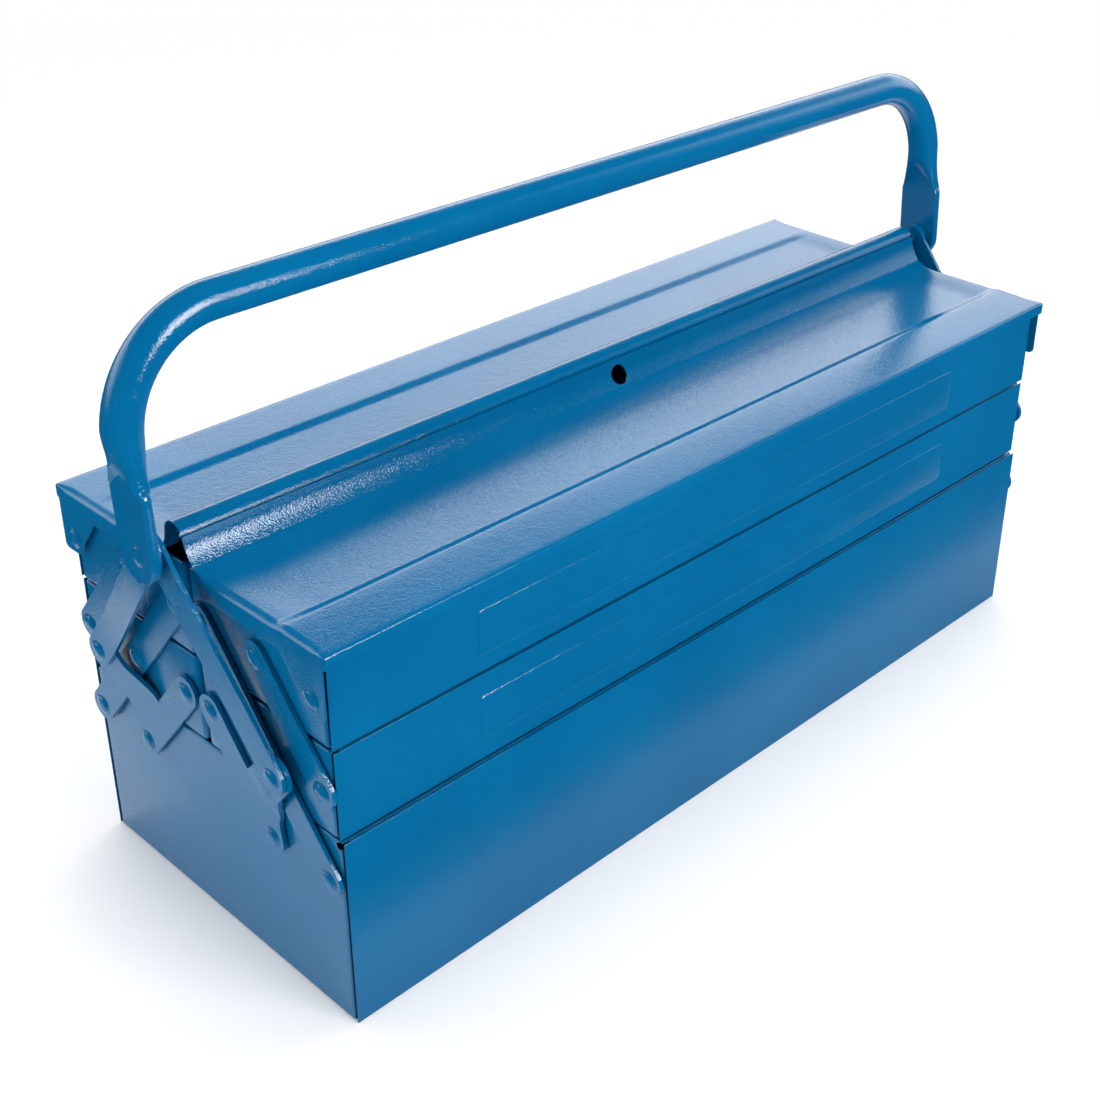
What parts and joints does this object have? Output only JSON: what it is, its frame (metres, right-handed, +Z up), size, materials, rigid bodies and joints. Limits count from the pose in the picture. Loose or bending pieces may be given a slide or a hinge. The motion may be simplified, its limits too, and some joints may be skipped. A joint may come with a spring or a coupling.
{
  "type": "cantilever tool box",
  "caption": "Folding sheet steel tool box with cantilever trays on riveted links, split ridge lids and a swinging tube handle.",
  "frame": {"origin": "middle of the base on the floor", "axes": "+X along the box, parallel to the handle's grip; +Y towards the rear pair of trays; +Z up"},
  "size_m": [0.5906, 0.2086, 0.3292],
  "materials": {
    "trays": "gloss hammered enamel",
    "lids": "gloss hammered enamel",
    "links": "gloss hammered enamel",
    "handle": "gloss hammered enamel",
    "rivets": "gloss hammered enamel"
  },
  "bodies": {
    "base": {"bottom_tray": "trays", "bottom_tray_rivets": "rivets"},
    "front_bars": {"front_long_bar_left": "links", "front_long_bar_right": "links"},
    "front_middle": {"front_middle_tray": "trays", "front_middle_rivets": "rivets"},
    "front_short": {"front_short_bar_left": "links", "front_short_bar_right": "links"},
    "front_cranks": {"front_crank_left": "links", "front_crank_right": "links"},
    "front_upper": {"front_upper_tray": "trays", "front_upper_rivets": "rivets", "front_lid_rivets": "rivets"},
    "front_lid": {"front_lid": "lids"},
    "rear_bars": {"rear_long_bar_left": "links", "rear_long_bar_right": "links"},
    "rear_middle": {"rear_middle_tray": "trays", "rear_middle_rivets": "rivets"},
    "rear_short": {"rear_short_bar_left": "links", "rear_short_bar_right": "links"},
    "rear_cranks": {"rear_crank_left": "links", "rear_crank_right": "links"},
    "rear_upper": {"rear_upper_tray": "trays", "rear_upper_rivets": "rivets", "rear_lid_rivets": "rivets"},
    "rear_lid": {"rear_lid": "lids"},
    "handle_pivot": {"handle_rivets": "rivets"},
    "front_arms": {"front_arm_left": "links", "front_arm_right": "links", "front_arm_rivets": "rivets"},
    "rear_arms": {"rear_arm_left": "links", "rear_arm_right": "links", "rear_arm_rivets": "rivets"},
    "handle": {"handle": "handle"}
  },
  "joints": [
    {"name": "front_fold", "type": "hinge", "parent": "base", "child": "front_bars", "pos_m": [0, -0.0927, 0.0829], "axis": [1, 0, 0], "range_deg": [0, 80.2]},
    {"name": "front_middle_swing", "type": "hinge", "parent": "front_bars", "child": "front_middle", "pos_m": [0, -0.0513, 0.132], "axis": [1, 0, 0], "range_deg": [-80.2, 0]},
    {"name": "front_upper_swing", "type": "hinge", "parent": "front_bars", "child": "front_upper", "pos_m": [0, -0.0099, 0.1811], "axis": [1, 0, 0], "range_deg": [-80.2, 0]},
    {"name": "front_short_swing", "type": "hinge", "parent": "front_middle", "child": "front_short", "pos_m": [0, -0.0927, 0.132], "axis": [1, 0, 0], "range_deg": [0, 80.2]},
    {"name": "front_crank_swing", "type": "hinge", "parent": "base", "child": "front_cranks", "pos_m": [0, -0.0513, 0.0829], "axis": [1, 0, 0], "range_deg": [0, 80.2]},
    {"name": "front_lid_hinge", "type": "hinge", "parent": "front_upper", "child": "front_lid", "pos_m": [0, -0.0927, 0.1811], "axis": [1, 0, 0], "range_deg": [0, 125]},
    {"name": "rear_fold", "type": "hinge", "parent": "base", "child": "rear_bars", "pos_m": [0, 0.0927, 0.0829], "axis": [-1, 0, 0], "range_deg": [0, 80.2]},
    {"name": "rear_middle_swing", "type": "hinge", "parent": "rear_bars", "child": "rear_middle", "pos_m": [0, 0.0513, 0.132], "axis": [-1, 0, 0], "range_deg": [-80.2, 0]},
    {"name": "rear_upper_swing", "type": "hinge", "parent": "rear_bars", "child": "rear_upper", "pos_m": [0, 0.0099, 0.1811], "axis": [-1, 0, 0], "range_deg": [-80.2, 0]},
    {"name": "rear_short_swing", "type": "hinge", "parent": "rear_middle", "child": "rear_short", "pos_m": [0, 0.0927, 0.132], "axis": [-1, 0, 0], "range_deg": [0, 80.2]},
    {"name": "rear_crank_swing", "type": "hinge", "parent": "base", "child": "rear_cranks", "pos_m": [0, 0.0513, 0.0829], "axis": [-1, 0, 0], "range_deg": [0, 80.2]},
    {"name": "rear_lid_hinge", "type": "hinge", "parent": "rear_upper", "child": "rear_lid", "pos_m": [0, 0.0927, 0.1811], "axis": [-1, 0, 0], "range_deg": [0, 125]},
    {"name": "handle_drop", "type": "slide", "parent": "base", "child": "handle_pivot", "axis": [0, 0, 1], "range_m": [-0.1019, 0]},
    {"name": "front_arm_swing", "type": "hinge", "parent": "handle_pivot", "child": "front_arms", "pos_m": [0, 0, 0.218], "axis": [1, 0, 0], "range_deg": [-28.38, 0]},
    {"name": "rear_arm_swing", "type": "hinge", "parent": "handle_pivot", "child": "rear_arms", "pos_m": [0, 0, 0.218], "axis": [-1, 0, 0], "range_deg": [-28.38, 0]},
    {"name": "handle_swing", "type": "hinge", "parent": "handle_pivot", "child": "handle", "pos_m": [0, 0, 0.218], "axis": [1, 0, 0], "range_deg": [-54, 59]}
  ],
  "couplings": [
    {"joint": "front_middle_swing", "follows": "front_fold", "ratio": -1},
    {"joint": "front_upper_swing", "follows": "front_fold", "ratio": -1},
    {"joint": "front_short_swing", "follows": "front_fold", "ratio": 1},
    {"joint": "front_crank_swing", "follows": "front_fold", "ratio": 1},
    {"joint": "rear_middle_swing", "follows": "front_fold", "ratio": -1},
    {"joint": "rear_upper_swing", "follows": "front_fold", "ratio": -1},
    {"joint": "rear_short_swing", "follows": "front_fold", "ratio": 1},
    {"joint": "rear_crank_swing", "follows": "front_fold", "ratio": 1},
    {"joint": "rear_fold", "follows": "front_fold", "ratio": 1},
    {"joint": "handle_drop", "follows": "front_fold", "m_per_rad": -0.072638},
    {"joint": "front_arm_swing", "follows": "front_fold", "ratio": -0.3526},
    {"joint": "rear_arm_swing", "follows": "front_fold", "ratio": -0.3526}
  ]
}
